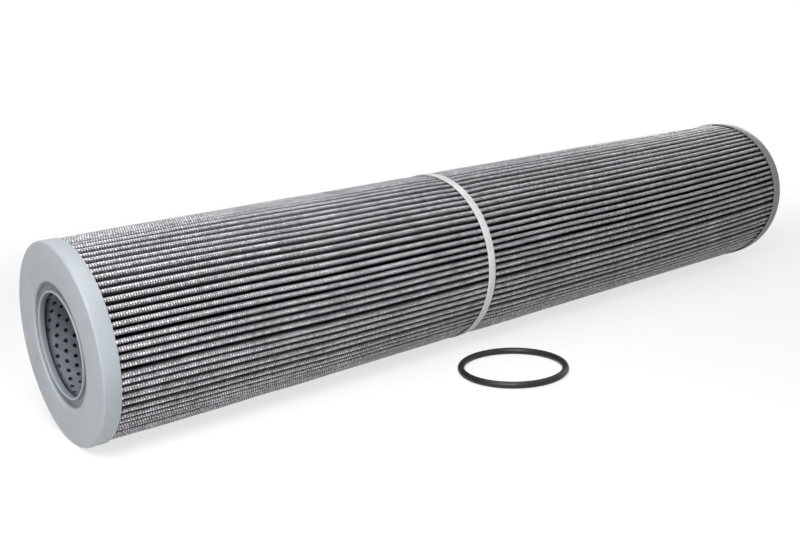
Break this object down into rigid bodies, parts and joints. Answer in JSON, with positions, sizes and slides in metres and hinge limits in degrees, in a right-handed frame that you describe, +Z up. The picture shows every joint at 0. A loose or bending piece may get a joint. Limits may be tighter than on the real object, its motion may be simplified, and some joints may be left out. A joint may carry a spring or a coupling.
{
  "type": "pleated hydraulic return-line filter element",
  "caption": "Long pleated hydraulic filter element with an open grey end cap, a closed end cap, a perforated core, a centre band and its loose seal ring.",
  "frame": {"origin": "centre of the open cap's outer face, on the element's axis", "axes": "+X along the element from the open end to the closed end, +Z up as the element lies on its side, the loose seal ring on the -Y side"},
  "size_m": [0.76, 0.226, 0.143],
  "materials": {
    "cap_sheet": "satin light grey",
    "adhesive": "cured resin",
    "core_steel": "dull dark grey",
    "wire_mesh": "woven, dull",
    "fleece": "matt",
    "glass_medium": "matt",
    "band": "satin off-white",
    "seal_rubber": "satin black"
  },
  "bodies": {
    "root": {"open_end_cap": "cap_sheet", "closed_end_cap": "cap_sheet", "open_end_potting": "adhesive", "closed_end_potting": "adhesive", "core_tube": "core_steel", "outer_mesh": "wire_mesh", "cover_fleece": "fleece", "filter_medium": "glass_medium", "drain_fleece": "fleece", "inner_mesh": "wire_mesh", "side_seam": "adhesive", "centre_band": "band", "seal_ring": "seal_rubber"}
  },
  "joints": []
}
